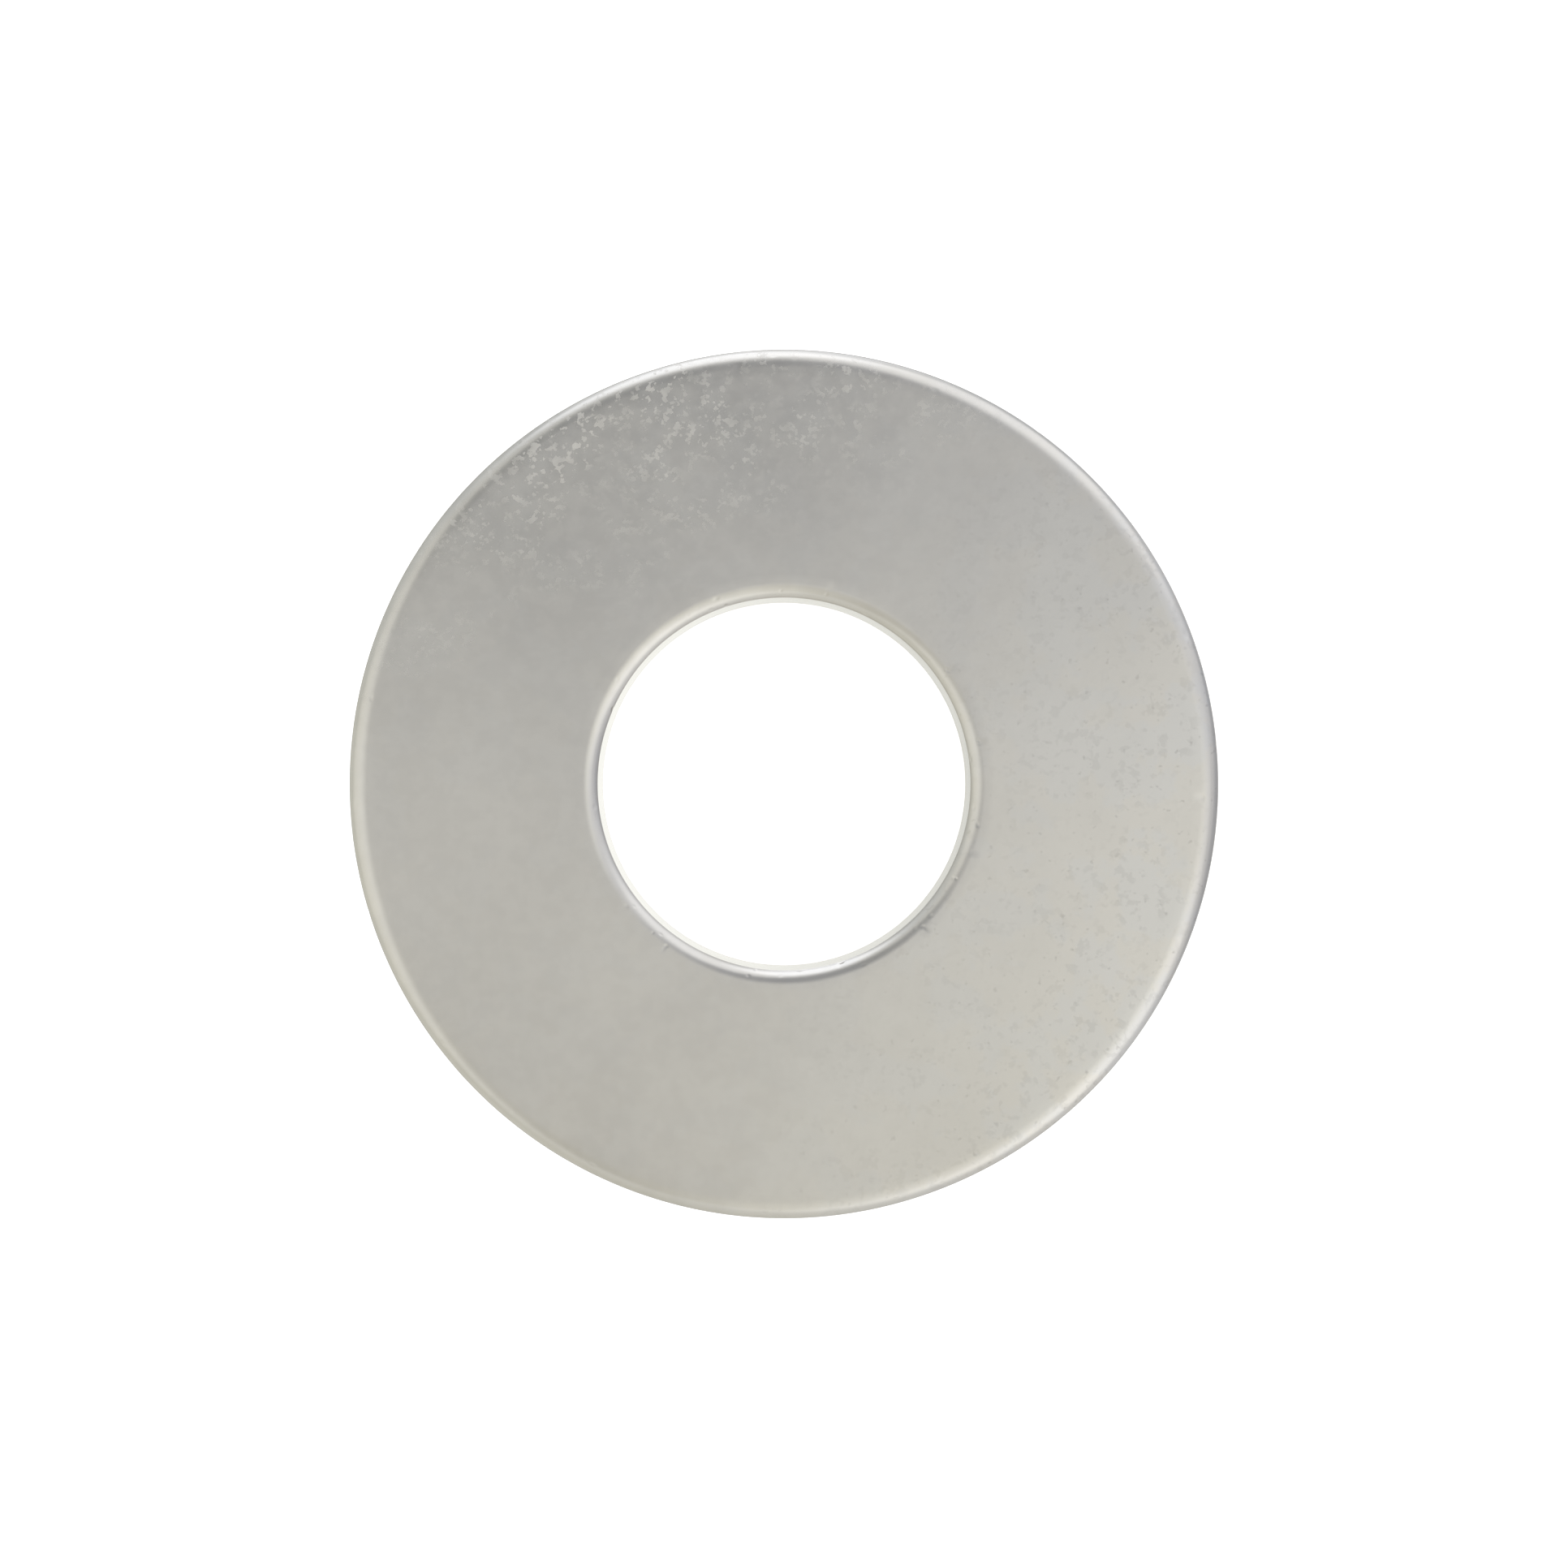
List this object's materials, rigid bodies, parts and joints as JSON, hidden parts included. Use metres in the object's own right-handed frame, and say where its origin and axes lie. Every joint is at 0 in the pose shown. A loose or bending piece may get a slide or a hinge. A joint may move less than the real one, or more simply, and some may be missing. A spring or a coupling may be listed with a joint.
{
  "type": "flat washer",
  "caption": "Wide flat washer stamped from zinc plated sheet steel, with rolled upper edges, spreading a bolt head's load around its bore.",
  "frame": {"origin": "on the bore's axis, in the plane of the underside that bears on the work", "axes": "+Z along the bore's axis, from the underside to the face with the rolled edges; X and Y are free, because the ring is round"},
  "size_m": [0.0222, 0.0222, 0.0021],
  "materials": {
    "zinc_plated_steel": "satin"
  },
  "bodies": {
    "root": {"washer": "zinc_plated_steel"}
  },
  "joints": []
}
